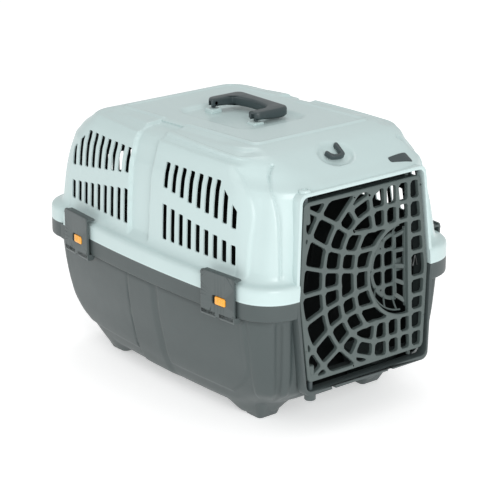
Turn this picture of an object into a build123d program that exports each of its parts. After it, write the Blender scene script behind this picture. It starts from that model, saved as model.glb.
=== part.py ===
from build123d import *
import os
from math import atan, cos, degrees, sin

# Pet transport carrier, millimetres.
# +X faces the door, +Y is the side the folded handle leans to, +Z is up.
# The origin is the middle of the footprint on the floor.

# Driving dimensions
rim_length = 510.0            # over the rim, rear to front
rim_width = 365.0             # over the rim, at its widest
roof_height = 367.0           # floor to the flat of the roof
parting_height = 191.0        # where the two shells meet
wall = 3.0                    # moulded wall thickness
belly_height = 14.0           # underside of the tub above the floor

# The long sides bow outwards; the widest place is a little ahead of the middle
side_bow = 2.7e-4             # sagitta per square millimetre of distance
bow_centre = 22.0

# Rim flange that runs round both shells
rim_step = 11.0               # how far the flange stands out of the walls
upper_rim_height = 24.0
lower_rim_height = 20.0

# Door plane: leans back, measured along its own upward direction
door_foot_x = 261.3           # where the plane meets the floor
door_lean = 0.0534            # backward travel per unit of height
sill_height = 67.0
lintel_height = 322.5
frame_lip = 5.0               # width of the raised frame round the doorway
frame_proud = 1.5             # frame face in front of the door plane
leaf_gap = 3.0
leaf_top_gap = 7.5
leaf_bottom_gap = 11.5
leaf_depth = 24.0             # depth of the leaf's turned-in edge
bar_depth = 6.5               # thickness of the grille bars
bar_width = 6.0
hinge_side_u = -93.0          # hinge axis, along the door plane's width
hinge_depth = -7.0
pin_radius = 3.5
running_gap = 0.06            # radial clearance of pins in their holes

# Scooped latch handle in the leaf
scoop_centre = (71.0, 194.5)
scoop_radius = 62.0
scoop_flat_u = 75.5
scoop_depth = 21.0
latch_u = 86.0
latch_travel = 8.0
bolt_low, bolt_high = 68.5, 321.0
bolt_depth = -14.5

# Carry handle
handle_half_span = 54.0
handle_pivot = (-15.0, 371.0)  # Y and Z of its axis
handle_reach = 53.0
handle_arm = 17.0
handle_height = 13.0

# Rim clips and their sliding locks
clip_width = 62.0
clip_thickness = 3.5
clip_places = {"rear": -142.0, "front": 172.0}
clip_pin_drop = 26.5          # clip axis below the parting line
clip_barrel = 4.2
window_offset = 3.0           # clip window ahead of the clip middle
window_drop = 5.5             # clip window below the parting line
lock_offset = 5.9             # lock ahead of the clip middle, when locked

# Ventilation slots
slot_width = 8.2
slot_pitch = 16.9
slot_count = 9
slot_first = 44.0
slot_foot = 230.0
slot_head = 330.0
slot_lean = 0.09

front = Plane(
    origin=(door_foot_x, 0, 0),
    x_dir=(0, 1, 0),
    z_dir=(cos(atan(door_lean)), 0, sin(atan(door_lean))),
)


# Sections of the shells: rear reach, front reach, half width, rear and front corner radius, height
rim_section = (rim_length / 2, 253.0, rim_width / 2, 50.0, 54.0)
upper_sections = [
    (244.5, 243.5, 171.5, 46.0, 48.0, parting_height),
    (243.5, 243.0, 165.0, 58.0, 66.0, 262.0),
    (238.0, 243.0, 157.0, 76.0, 85.0, 317.0),
    (231.0, 241.0, 154.0, 74.0, 84.0, 326.0),
    (222.0, 224.0, 151.0, 70.0, 78.0, 336.0),
    (202.0, 203.0, 147.0, 58.0, 62.0, 348.0),
    (176.0, 176.0, 137.0, 32.0, 36.0, 361.0),
    (152.0, 148.0, 118.0, 24.0, 24.0, roof_height),
]
lower_sections = [
    (176.0, 160.0, 118.0, 50.0, 50.0, belly_height),
    (198.0, 192.0, 136.0, 56.0, 56.0, 28.0),
    (212.0, 220.0, 144.0, 58.0, 58.0, 43.0),
    (230.0, 243.0, 151.0, 58.0, 58.0, 60.0),
    (243.0, 248.0, 157.0, 55.0, 58.0, 85.0),
    (247.0, 246.0, 165.0, 52.0, 56.0, 125.0),
    (244.5, 243.5, 171.5, 46.0, 48.0, parting_height),
]


def outline(rear, ahead, half, rear_radius, front_radius, height):
    """Plan section of the carrier: a rectangle with bowed long sides and round corners."""
    y_rear = half - side_bow * (rear + bow_centre) ** 2
    y_front = half - side_bow * (ahead - bow_centre) ** 2
    near = ThreePointArc((-rear, -y_rear), (bow_centre, -half), (ahead, -y_front))
    end = Line((ahead, -y_front), (ahead, y_front))
    far = ThreePointArc((ahead, y_front), (bow_centre, half), (-rear, y_rear))
    back = Line((-rear, y_rear), (-rear, -y_rear))
    face = make_face([near, end, far, back])
    face = fillet([v for v in face.vertices() if v.X < 0], rear_radius)
    ahead_corners = [v for v in face.vertices() if abs(v.X - ahead) < 1e-6 and abs(abs(v.Y) - y_front) < 1e-6]
    face = fillet(ahead_corners, front_radius)
    return Pos(0, 0, height) * face


def inset(section, amount):
    return tuple(value - amount for value in section[:5])


def hull(sections, amount=0.0, floor=0.0, roof=0.0):
    """Solid through the sections, drawn in by amount; floor and roof move the two end sections."""
    heights = [s[5] for s in sections]
    heights[0] += floor
    heights[-1] += roof
    return loft([outline(*inset(s, amount), z) for s, z in zip(sections, heights)], ruled=True)


def rim_ring(low, high, shelf_low):
    """Hollow flange: an outer skirt from low to high and a shelf that ties it to the wall."""
    outer = outline(*rim_section, low)
    skirt = extrude(outer - outline(*inset(rim_section, wall), low), high - low)
    shelf_face = outline(*rim_section, shelf_low) - outline(*inset(rim_section, rim_step + wall), shelf_low)
    return skirt + extrude(shelf_face, wall)


def door_outline(top, bottom, half_top, half_mid, half_bottom, corner):
    """Six-sided doorway outline, widest at the parting line."""
    points = [
        (-half_bottom, bottom), (half_bottom, bottom), (half_mid, parting_height),
        (half_top, top), (-half_top, top), (-half_mid, parting_height),
    ]
    face = make_face(Polyline(*points, close=True))
    return fillet([v for v in face.vertices() if abs(v.Y - parting_height) > 1], corner)


def on_front(sketch, back, ahead):
    """Extrude a sketch of the door plane between two depths measured out of the plane."""
    return extrude(front.offset(back) * sketch, ahead - back)


def front_cylinder(u, depth, radius, low, high):
    """Cylinder along the door plane's upward direction."""
    place = front.location * Location((u, low, depth), (-90, 0, 0))
    return place * Cylinder(radius, high - low, align=(Align.CENTER, Align.CENTER, Align.MIN))


doorway = door_outline(lintel_height, sill_height, 103.0, 113.5, 104.5, 9.0)
door_frame = door_outline(lintel_height + frame_lip, 61.0, 107.0, 118.5, 107.0, 11.0)


def slot_heights(index):
    """Lower and upper opening of one column of the side vents; the band between them rises to the middle."""
    from_middle = slot_first + slot_pitch * index
    band = 284.0 - 0.155 * (from_middle - 62.0)
    head = slot_head - {7: 9.0, 8: 24.0}.get(index, 0.0)
    return (slot_foot, band - 10.5), (band + 10.5, head)


def side_slots():
    """Cutters for the vents of both long sides, each one running right across the shell."""
    cutters = []
    for side in (-1, 1):
        for index in range(slot_count):
            x = side * (slot_first + slot_pitch * index)
            for low, high in slot_heights(index):
                middle = (low + high) / 2
                place = Location((x - slot_lean * (middle - slot_foot), 0, middle), (0, degrees(atan(-slot_lean)), 0))
                cutters.append(place * Box(slot_width, rim_width, high - low))
    return cutters


def rear_slots():
    """Cutters for the upright vents of the rear wall."""
    return [
        Pos(-rim_length / 2 + 10, y, middle) * Box(60, slot_width, height)
        for y in [18.0 * step for step in range(-4, 5)]
        for middle, height in ((246.0, 32.0), (292.0, 36.0))
    ]


def feet():
    """Four tapered feet under the corners of the tub."""
    made = []
    for x in (-152.0, 152.0):
        for y in (-96.0, 96.0):
            top = Pos(x * 0.99, y * 0.92, belly_height + 3) * RectangleRounded(60, 44, 8)
            base = Pos(x, y, 0) * RectangleRounded(30, 24, 5)
            made.append(loft([base, top]))
    return made


def clip_place(which, side):
    """Frame on the rim at a clip: X along the rim, Y outwards, on the near (-1) or far (+1) side."""
    x = clip_places[which]
    y = rim_width / 2 - side_bow * (x - bow_centre) ** 2
    turn = degrees(atan(2 * side_bow * (x - bow_centre)))
    if side < 0:
        return Location((x, -y, parting_height), (0, 0, 180 + turn))
    return Location((x, y, parting_height), (0, 0, -turn))


def clip_ear():
    """Ear under the rim that carries the middle of a clip's pin."""
    plate = Pos(0, -9, 2.25 - clip_pin_drop) * Box(6, 14, 9.5)
    axis = Location((0, -2, -clip_pin_drop), (0, 90, 0))
    return plate + axis * Cylinder(clip_barrel, 6) - axis * Cylinder(2.0 + running_gap, 20)


def lower_shell():
    shell = hull(lower_sections) - hull(lower_sections, wall, floor=wall)
    shell += rim_ring(parting_height - lower_rim_height, parting_height, parting_height - lower_rim_height)
    shell = shell + on_front(door_frame, -14, frame_proud) & Pos(0, 0, parting_height / 2) * Box(600, 600, parting_height)
    shell -= on_front(doorway, -40, 10)
    shell += feet()
    boss = front_cylinder(hinge_side_u, hinge_depth, 7.5, 54, sill_height)
    shell += boss
    shell -= front_cylinder(hinge_side_u, hinge_depth, pin_radius + running_gap, 58, 90)
    for which in clip_places:
        for side in (-1, 1):
            shell += clip_place(which, side) * clip_ear()
    return shell


def handle_recess(grow=0.0):
    """Shallow tapered pocket of the roof that the handle folds into."""
    top = Pos(-2, -6, roof_height + 0.5) * RectangleRounded(164 + grow * 2, 112 + grow * 2, 14)
    base = Pos(2, -4, roof_height - 9 - grow) * RectangleRounded(136 + grow * 2, 92 + grow * 2, 12)
    return loft([base, top])


def handle_lug(side):
    """Upright ear of the roof between the two cheeks of a handle arm."""
    x = side * (handle_half_span - handle_arm / 2)
    y, z = handle_pivot
    ear = Pos(x, y, (z + roof_height - 12) / 2) * Box(5.4, 10, z - roof_height + 12)
    ear += Location((x, y, z), (0, 90, 0)) * Cylinder(5, 5.4)
    return ear - Location((x, y, z), (0, 90, 0)) * Cylinder(2.5 + running_gap, 10)


def upper_shell():
    crown = hull(upper_sections)
    shell = crown - hull(upper_sections, wall, roof=-wall)
    shell += handle_recess(wall) & crown
    shell -= handle_recess()
    shell += rim_ring(parting_height, parting_height + upper_rim_height, parting_height + upper_rim_height - wall)
    shell = shell + on_front(door_frame, -14, frame_proud) & Pos(0, 0, parting_height + 150) * Box(600, 600, 300)
    boss = front_cylinder(hinge_side_u, hinge_depth, 7.5, lintel_height, 331)
    keeper = Pos(226, 84, 330) * Box(26, 60, 14)
    shell = shell + boss + (keeper & crown)
    shell -= on_front(doorway, -40, 10)
    shell -= front_cylinder(hinge_side_u, hinge_depth, pin_radius + running_gap, 300, 329)
    shell -= Pos(224, 84, 336) * Box(11, 40, 20)
    for cutter in side_slots() + rear_slots():
        shell -= cutter
    shell -= strap_hook()
    return shell + [handle_lug(side) for side in (-1, 1)]


# Curved bars of the grille's web: points across the door and along its height, above the middle line.
# The web is the same below that line.
web_middle = 194.5
web_curves = [
    [(-108, 235), (-72, 222), (-43, 215), (-17, 209.5), (9, 207)],
    [(-108, 281), (-66, 252), (-40, 240), (-13, 233.5), (22, 233)],
    [(-100, 308), (-52, 281), (-28, 264), (-4, 258), (40, 257.5), (110, 257.5)],
    [(-17, 194.5), (-16, 215), (-11, 236), (1, 257)],
    [(-43, 194.5), (-41.5, 215), (-36, 240), (-26, 259), (-10, 273), (14, 282), (44, 283.5), (110, 283.5)],
    [(-71, 194.5), (-69, 218), (-63, 245), (-49, 271), (-28, 293), (-8, 310)],
    [(-104, 228), (-96, 256), (-80, 285), (-58, 312)],
    [(-21, 292), (0, 300), (22, 306)],
    [(-22, 292), (-12, 276)],
]
web_straights = [
    [(-108, 194.5), (-43, 194.5)],
    [(14, 282), (10, 312)],
    [(18, 258), (14, 282)],
    [(37.5, 257), (37.5, 312)],
    [(58.5, 257), (58.5, 312)],
    [(79, 194.5), (79, 312)],
    [(79, 212), (110, 212)],
    [(79, 236), (110, 236)],
]


def web_bars():
    """Every bar of the grille as one flat sketch."""
    upper = [trace(Spline(*points), bar_width) for points in web_curves]
    upper += [trace(Line(*points), bar_width) for points in web_straights]
    bars = Sketch() + upper
    return bars + mirror(bars, Plane.XZ.offset(-web_middle))


def scoop(radius, flat):
    """D-shaped outline of the finger scoop."""
    disc = Pos(*scoop_centre) * Circle(radius)
    return disc & Pos(flat - 100, scoop_centre[1]) * Rectangle(200, 400)


def leaf_outline(amount):
    """Outline of the door leaf, drawn in by amount."""
    gap = leaf_gap + amount
    return door_outline(
        lintel_height - leaf_top_gap - amount, sill_height + leaf_bottom_gap + amount,
        103.0 - gap, 113.5 - gap, 104.5 - gap, max(8.0 - amount / 2, 2.0),
    )


def door_grille():
    """Leaf: a web of bars in a frame whose edge turns in behind it."""
    sketch = (web_bars() & leaf_outline(1)) + (leaf_outline(0) - leaf_outline(bar_width))
    rim = scoop(scoop_radius + bar_width, scoop_flat_u + bar_width)
    sketch = sketch + (rim & leaf_outline(1)) - scoop(scoop_radius, scoop_flat_u)
    leaf = on_front(sketch, -1 - bar_depth, -1)
    edge = leaf_outline(0) - leaf_outline(2.5)
    leaf += on_front(edge, -1 - leaf_depth, -1)
    slot = Pos(latch_u + latch_travel / 2, web_middle) * Rectangle(latch_travel + 8, 300)
    leaf -= on_front(slot & (leaf_outline(-1) - leaf_outline(3)), bolt_depth - 3.5, bolt_depth + 3.5)
    for low, high in ((sill_height + leaf_bottom_gap + 0.4, 100.0), (286.0, lintel_height - leaf_top_gap - 0.4)):
        leaf += front_cylinder(hinge_side_u, hinge_depth, 6.0, low, high)
        leaf -= front_cylinder(hinge_side_u, hinge_depth, pin_radius, low - 5, high + 5)
    return leaf


def latch_handle():
    """Finger scoop behind the leaf: a D-shaped basket with a grid floor and a slanted right wall."""
    floor_low = -scoop_depth
    plate = scoop(scoop_radius - 18, scoop_flat_u - 7)
    ring = plate - scoop(scoop_radius - 24, scoop_flat_u - 13)
    grid = Sketch() + [Pos(u, scoop_centre[1]) * Rectangle(4.5, 130) for u in (46.0, 62.0)]
    grid = grid + [Pos(50, z) * Rectangle(90, 4.5) for z in (169.0, 194.5, 220.0)]
    basket = on_front(ring + (grid & plate), floor_low, floor_low + 3)
    wall_sketch = Pos(scoop_flat_u - 8.5, scoop_centre[1]) * Rectangle(3, 84)
    basket += on_front(wall_sketch, floor_low, -9)
    stem = Pos(latch_u - 8, scoop_centre[1]) * Rectangle(24, 17)
    block = Pos(latch_u, scoop_centre[1]) * Rectangle(8, 17)
    return basket + on_front(stem, floor_low, floor_low + 3) + on_front(block, floor_low, bolt_depth + 3.5)


def latch_bolt(low, high):
    """Upright round bolt that hangs on the scoop's stem."""
    return front_cylinder(latch_u, bolt_depth, 3.0, low, high)


def latch_spring():
    """Return spring between the latch and the leaf's edge, drawn as one folded strip."""
    steps = [(90.4, 187.0), (94.8, 202.0), (99.0, 187.0), (103.2, 202.0), (107.2, 187.0)]
    return on_front(trace(Polyline(*steps), 0.8), -20, -14)


def carry_handle():
    """Folding bail: two arms and a broad grip, with a cheek on each side of the roof's lugs."""
    y, z = handle_pivot
    outer = handle_half_span
    frame = Pos(0, y - 7 + (handle_reach + 7) / 2) * RectangleRounded(2 * outer, handle_reach + 7, 9)
    gap = Pos(0, y - 9 + 19) * RectangleRounded(2 * (outer - handle_arm), 38, 8)
    gap += Pos(0, y - 8) * Rectangle(2 * (outer - handle_arm), 22)
    body = extrude(Pos(0, 0, z - handle_height / 2) * (frame - gap), handle_height)
    body = fillet(body.edges().filter_by(Plane.XY).group_by(Axis.Z)[-1], 3.5)
    for side in (-1, 1):
        x = side * (outer - handle_arm / 2)
        body -= Pos(x, y, z) * Box(6.2, 22, 30)
        body -= Location((x, y, z), (0, 90, 0)) * Cylinder(2.5 + running_gap, 15)
    return body


def handle_pin(side):
    x = side * (handle_half_span - handle_arm / 2)
    return Location((x, *handle_pivot), (0, 90, 0)) * Cylinder(2.5, handle_arm - 3)


def clip_body(side):
    """C-shaped clip: plate over the rim, lip over its top, barrel on the pin below."""
    inner, outer = 2.0, 2.0 + clip_thickness
    top = upper_rim_height + 1.5
    height = top + 3 + clip_pin_drop
    plate = Pos(0, (inner + outer) / 2, top + 3 - height / 2) * Box(clip_width, clip_thickness, height)
    lip = Pos(0, (outer - 8) / 2, top + 1.5) * Box(clip_width, outer + 8, 3)
    barrel = Location((0, -2, -clip_pin_drop), (0, 90, 0)) * Cylinder(clip_barrel, clip_width)
    foot = Pos(0, 1.75, -clip_pin_drop) * Box(clip_width, 7.5, 8.4)
    body = plate + lip + barrel + foot
    body -= Pos(0, -2, -clip_pin_drop) * Box(7.5, 12, 14)
    body -= Location((0, -2, -clip_pin_drop), (0, 90, 0)) * Cylinder(2.0 + running_gap, clip_width + 2)
    return body - Pos(side * window_offset, 4, -window_drop) * Box(25, 10, 11)


def clip_pin():
    return Location((0, -2, -clip_pin_drop), (0, 90, 0)) * Cylinder(2.0, clip_width - 4)


def lock_button(side):
    """Sliding lock in the clip's window: a raised pad on a wider foot behind the plate."""
    pad = Pos(side * lock_offset, 3.6, -window_drop) * Box(18.4, 5.6, 10.4)
    foot = Pos(side * lock_offset, 1.25, -window_drop) * Box(21, 0.9, 13)
    return pad + foot


def strap_hook():
    """Folded hook on the slope above the door."""
    points = [(-13, 1), (-8, -8), (7, -8), (11, 12)]
    profile = trace(Polyline(*points), 5.0)
    slope = Plane(origin=(194, -6, 352.6), x_dir=(0, 1, 0), z_dir=(0.434, 0, 0.901))
    return extrude(slope.offset(-3) * profile, 6)


def latch_keeper():
    """Small lever seated across the slot above the latch."""
    return Pos(224, 84, 331) * Box(8, 40, 6)


def write(name, shape):
    export_step(shape if isinstance(shape, Part) else Part() + shape, f"parts/{name}.step")


def main():
    os.makedirs("parts", exist_ok=True)
    write("lower_shell", lower_shell())
    write("upper_shell", upper_shell())
    write("door_grille", door_grille())
    write("door_pin_lower", front_cylinder(hinge_side_u, hinge_depth, pin_radius, 58, 99))
    write("door_pin_upper", front_cylinder(hinge_side_u, hinge_depth, pin_radius, 287, 329))
    write("latch_handle", latch_handle())
    write("latch_bolt_lower", latch_bolt(bolt_low, 186))
    write("latch_bolt_upper", latch_bolt(203, bolt_high))
    write("latch_spring", latch_spring())
    write("latch_keeper", latch_keeper())
    write("strap_hook", strap_hook())
    write("carry_handle", carry_handle())
    for side, name in ((-1, "rear"), (1, "front")):
        write(f"handle_pin_{name}", handle_pin(side))
    for side, edge in ((-1, "near"), (1, "far")):
        for which in clip_places:
            place = clip_place(which, side)
            write(f"clip_{edge}_{which}", place * clip_body(side))
            write(f"clip_pin_{edge}_{which}", place * clip_pin())
            write(f"clip_lock_{edge}_{which}", place * lock_button(side))


main()
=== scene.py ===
import math

import bmesh
import bpy
import numpy as np
from mathutils import Matrix, Vector
from mathutils.geometry import delaunay_2d_cdt


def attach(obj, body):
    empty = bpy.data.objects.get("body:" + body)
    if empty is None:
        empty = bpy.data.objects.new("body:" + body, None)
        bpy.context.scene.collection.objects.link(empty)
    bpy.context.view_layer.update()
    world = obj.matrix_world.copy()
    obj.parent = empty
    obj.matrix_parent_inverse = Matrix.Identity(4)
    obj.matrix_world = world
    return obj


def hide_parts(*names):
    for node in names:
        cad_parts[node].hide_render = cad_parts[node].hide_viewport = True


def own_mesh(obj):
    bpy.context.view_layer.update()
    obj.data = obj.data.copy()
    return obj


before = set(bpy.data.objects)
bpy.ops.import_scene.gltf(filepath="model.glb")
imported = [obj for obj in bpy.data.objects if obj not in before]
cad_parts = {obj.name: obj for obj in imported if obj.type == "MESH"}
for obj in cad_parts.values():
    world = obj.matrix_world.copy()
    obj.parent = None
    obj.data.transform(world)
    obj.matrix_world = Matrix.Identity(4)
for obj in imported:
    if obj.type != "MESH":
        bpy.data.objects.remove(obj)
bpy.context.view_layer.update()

# All sizes are in millimetres: +X faces the door, +Z is up, the near side is -Y
MM = 0.001
WALL = 2.0
PARTING = 191.0
SIDE_BOW, BOW_CENTRE = 2.7e-4, 22.0
RIM = (255.0, 253.0, 182.5, 50.0, 54.0)
LEAN = math.atan(0.0534)
WEB_MIDDLE, SCOOP_U = 194.5, 71
SLOT_FIRST, SLOT_PITCH, SLOT_FOOT = 44.0, 16.9, 230.0
ARMS = (-45.5, 45.5)

# Sections of the shells: rear and front reach, half width, rear and front corner radius, height
UPPER = np.array([
    (244.5, 243.5, 171.5, 46, 48, 191), (243.5, 243, 165, 58, 66, 262), (238, 243, 157, 76, 85, 317),
    (231, 241, 154, 74, 84, 326), (222, 224, 151, 70, 78, 336), (202, 203, 147, 58, 62, 348),
    (176, 176, 137, 32, 36, 361), (152, 148, 118, 24, 24, 367), (140, 138, 92, 20, 20, 367.6),
], float)
LOWER = np.array([
    (120, 112, 60, 30, 30, 12.4), (150, 138, 92, 40, 40, 12.6), (170, 156, 112, 48, 48, 13.2),
    (180, 168, 121, 52, 52, 16), (198, 192, 136, 56, 56, 28), (212, 220, 144, 58, 58, 43),
    (230, 243, 151, 58, 58, 60), (243, 248, 157, 55, 58, 85), (247, 246, 165, 52, 56, 125),
    (244.5, 243.5, 171.5, 46, 48, 191),
], float)


# ---------------------------------------------------------------- small maths
def smooth(x, low, high):
    t = np.clip((x - low) / (high - low), 0, 1)
    return t * t * (3 - 2 * t)


def pchip(x, y, xq):
    """Monotone cubic through the rows of y at x, read at xq."""
    h = np.diff(x)[:, None]
    d = np.diff(y, axis=0) / h
    slope = np.zeros_like(y)
    inner = d[:-1] * d[1:] > 0
    with np.errstate(divide="ignore", invalid="ignore"):
        w1, w2 = 2 * h[1:] + h[:-1], h[1:] + 2 * h[:-1]
        mean = (w1 + w2) / (w1 / d[:-1] + w2 / d[1:])
    slope[1:-1] = np.where(inner, np.nan_to_num(mean), 0)
    slope[0], slope[-1] = d[0], d[-1]
    i = np.clip(np.searchsorted(x, xq, side="right") - 1, 0, len(x) - 2)
    t = ((xq - x[i]) / h[i, 0])[:, None]
    return (
        (2 * t**3 - 3 * t**2 + 1) * y[i] + (t**3 - 2 * t**2 + t) * h[i] * slope[i]
        + (-2 * t**3 + 3 * t**2) * y[i + 1] + (t**3 - t**2) * h[i] * slope[i + 1]
    )


def smin(a, b, k):
    h = np.clip(0.5 + 0.5 * (b - a) / k, 0, 1)
    return b * (1 - h) + a * h - k * h * (1 - h)


def polyline_distance(p, points):
    best = np.full(len(p), 1e9)
    for a, b in zip(points[:-1], points[1:]):
        a, b = np.array(a, float), np.array(b, float)
        ab = b - a
        t = np.clip(((p - a) @ ab) / max(ab @ ab, 1e-9), 0, 1)
        best = np.minimum(best, np.hypot(*(p - a - t[:, None] * ab).T))
    return best


def polygon_distance(p, points):
    """Signed distance to a closed polygon, negative inside."""
    points = np.array(points, float)
    best = polyline_distance(p, list(points) + [points[0]])
    inside = np.zeros(len(p), bool)
    for (x1, y1), (x2, y2) in zip(points, np.roll(points, -1, axis=0)):
        crosses = (y1 > p[:, 1]) != (y2 > p[:, 1])
        with np.errstate(divide="ignore", invalid="ignore"):
            x = (x2 - x1) * (p[:, 1] - y1) / (y2 - y1) + x1
        inside ^= crosses & (p[:, 0] < x)
    return np.where(inside, -best, best)


def box_distance(p, centre, half, radius=0.0):
    q = np.abs(p - np.array(centre, float)) - (np.array(half, float) - radius)
    return np.hypot(*np.maximum(q, 0).T) + np.minimum(q.max(1), 0) - radius


def spline(points, count=9):
    """Catmull-Rom curve through the points."""
    p = np.array(points, float)
    p = np.vstack([2 * p[0] - p[1], p, 2 * p[-1] - p[-2]])
    out = []
    for i in range(1, len(p) - 2):
        for t in np.linspace(0, 1, count, endpoint=False):
            a, b, c, d = p[i - 1 : i + 3]
            square = 2 * a - 5 * b + 4 * c - d
            cube = 3 * b - a - 3 * c + d
            out.append(0.5 * (2 * b + (c - a) * t + square * t**2 + cube * t**3))
    return out + [p[-2]]


# ---------------------------------------------------------------- meshes
def make(name, verts, faces, material, smooth_angle=40, recalc=True):
    mesh = bpy.data.meshes.new(name)
    mesh.from_pydata((np.array(verts, float) * MM).tolist(), [], faces)
    mesh.validate()
    if recalc:
        work = bmesh.new()
        work.from_mesh(mesh)
        bmesh.ops.recalc_face_normals(work, faces=work.faces)
        work.to_mesh(mesh)
        work.free()
    obj = bpy.data.objects.new(name, mesh)
    bpy.context.scene.collection.objects.link(obj)
    mesh.materials.append(material)
    shade(obj, smooth_angle)
    return obj


def shade(obj, angle):
    obj.data.shade_smooth()
    obj.data.set_sharp_from_angle(angle=math.radians(angle))


def settle(obj, angle=40):
    """Applies the modifiers, so that the mesh is final."""
    graph = bpy.context.evaluated_depsgraph_get()
    mesh = bpy.data.meshes.new_from_object(obj.evaluated_get(graph), depsgraph=graph)
    obj.modifiers.clear()
    obj.data = mesh
    shade(obj, angle)
    return obj


def bevel(obj, width, segments=3, angle=35):
    m = obj.modifiers.new("bevel", "BEVEL")
    m.width, m.segments = width * MM, segments
    m.limit_method, m.angle_limit = "ANGLE", math.radians(angle)
    m.use_clamp_overlap = True
    return settle(obj)


def contours(field, lows, highs, step):
    """Closed loops where the field is zero, with the negative side on the left."""
    xs = np.arange(lows[0], highs[0] + step, step)
    ys = np.arange(lows[1], highs[1] + step, step)
    gx, gy = np.meshgrid(xs, ys)
    f = field(np.stack([gx.ravel(), gy.ravel()], 1)).reshape(gx.shape)
    f = np.where(np.abs(f) < 1e-6, 1e-6, f)
    f[0], f[-1], f[:, 0], f[:, -1] = 1, 1, 1, 1
    inside = f < 0
    code = inside[:-1, :-1] * 1 + inside[:-1, 1:] * 2 + inside[1:, 1:] * 4 + inside[1:, :-1] * 8
    routes = {
        1: "bl", 2: "rb", 4: "tr", 8: "lt", 3: "rl", 6: "tb", 12: "lr", 9: "bt",
        7: "tl", 11: "rt", 13: "br", 14: "lb", 5: "bltr", 10: "rblt",
    }

    def crossing(i, j, side):
        horizontal = side in "bt"
        i2, j2 = (i + (side == "t"), j) if horizontal else (i, j + (side == "r"))
        a = f[i2, j2]
        b = f[i2, j2 + 1] if horizontal else f[i2 + 1, j2]
        t = a / (a - b)
        point = (xs[j2] + t * step, ys[i2]) if horizontal else (xs[j2], ys[i2] + t * step)
        return (i2, j2, horizontal), point

    following, places = {}, {}
    for i, j in zip(*np.nonzero((code > 0) & (code < 15))):
        route = routes[int(code[i, j])]
        for k in range(0, len(route), 2):
            start, p = crossing(i, j, route[k])
            end, q = crossing(i, j, route[k + 1])
            following[start] = end
            places[start], places[end] = p, q
    loops = []
    while following:
        first = next(iter(following))
        loop, at = [], first
        while at in following:
            loop.append(places[at])
            at = following.pop(at)
        if len(loop) > 8:
            loops.append(np.array(loop))
    return loops


def tidy_loop(loop, spacing):
    for _ in range(2):
        loop = 0.5 * loop + 0.25 * (np.roll(loop, 1, 0) + np.roll(loop, -1, 0))
    closed = np.vstack([loop, loop[:1]])
    run = np.concatenate([[0], np.cumsum(np.hypot(*np.diff(closed, axis=0).T))])
    count = max(int(run[-1] / spacing), 8)
    at = np.linspace(0, run[-1], count, endpoint=False)
    return np.stack([np.interp(at, run, closed[:, 0]), np.interp(at, run, closed[:, 1])], 1)


def inward(loop):
    t = np.roll(loop, -1, 0) - np.roll(loop, 1, 0)
    n = np.stack([-t[:, 1], t[:, 0]], 1)
    return n / np.maximum(np.hypot(*n.T), 1e-9)[:, None]


def plate(field, lows, highs, low, high, place, edge=1.0, back=0.4, step=1.0, spacing=1.4):
    """Flat moulding over the field's inside, from low to high, with a rounded front edge."""
    loops = [tidy_loop(l, spacing) for l in contours(field, lows, highs, step)]
    profile = [(back, low), (0.0, low + back), (0.0, high - edge), (0.13 * edge, high - 0.5 * edge),
               (0.45 * edge, high - 0.14 * edge), (edge, high)]
    verts, faces, counts = [], [], [len(l) for l in loops]
    total = sum(counts)
    for offset, height in profile:
        for loop in loops:
            ring = loop + inward(loop) * offset
            verts += [place(a, b, height) for a, b in ring]
    base = 0
    for n in counts:
        for level in range(len(profile) - 1):
            for k in range(n):
                a = level * total + base + k
                b = level * total + base + (k + 1) % n
                faces.append((a, b, b + total, a + total))
        base += n
    for level, flip in ((0, True), (len(profile) - 1, False)):
        offset = profile[level][0]
        flat = np.vstack([l + inward(l) * offset for l in loops])
        edges, base = [], 0
        for n in counts:
            edges += [(base + k, base + (k + 1) % n) for k in range(n)]
            base += n
        points, _, triangles, origin, _, _ = delaunay_2d_cdt([Vector(p) for p in flat], edges, [], 0, 1e-5)
        centres = np.array([[sum(points[i][k] for i in t) / 3 for k in (0, 1)] for t in triangles])
        keep = field(centres) < 0
        for t, ok in zip(triangles, keep):
            if ok and all(origin[i] for i in t):
                face = tuple(level * total + origin[i][0] for i in t)
                faces.append(face[::-1] if flip else face)
    return verts, faces


def joined(name, parts, material, angle=40):
    verts, faces = [], []
    for v, f in parts:
        n = len(verts)
        verts += list(v)
        faces += [tuple(i + n for i in face) for face in f]
    return make(name, verts, faces, material, angle)


def prism(polygon, low, high, place):
    """Straight prism on a flat polygon."""
    n = len(polygon)
    verts = [place(a, b, c) for c in (low, high) for a, b in polygon]
    faces = [tuple(range(n))[::-1], tuple(range(n, 2 * n))]
    faces += [(k, (k + 1) % n, n + (k + 1) % n, n + k) for k in range(n)]
    return verts, faces


def rectangle(left, right, low, high):
    return [(left, low), (right, low), (right, high), (left, high)]


def upright(a, b, c):
    """a along Y, b up and c along X."""
    return (c, a, b)


def ring_faces(levels, count):
    """Walls between rings of count vertices, and a cap at each end."""
    faces = []
    for level in range(levels - 1):
        for k in range(count):
            a, b = level * count + k, level * count + (k + 1) % count
            faces.append((a, b, b + count, a + count))
    faces.append(tuple(range(count))[::-1])
    faces.append(tuple(range((levels - 1) * count, levels * count)))
    return faces


def lathe(profile, place, count=32):
    """Turned form from (radius, height) points; place takes flat x, y and the height."""
    turns = [2 * math.pi * k / count for k in range(count)]
    verts = [place(r * math.cos(t), r * math.sin(t), h) for r, h in profile for t in turns]
    return verts, ring_faces(len(profile), count)


def on_door(u, v, w):
    """Door plane: u across, v up along it, w out of it."""
    return (261.3 - v * math.sin(LEAN) + w * math.cos(LEAN), u, v * math.cos(LEAN) + w * math.sin(LEAN))


def thicken(obj, inside):
    """Wall thickness inwards, with its own material on the inner face; the shells pass a near-black one, painted shade
    for their insides.
    """
    obj.data.materials.append(inside)
    m = obj.modifiers.new("wall", "SOLIDIFY")
    m.thickness, m.offset, m.material_offset = WALL * MM, -1, 1
    return settle(obj, 50)


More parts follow.
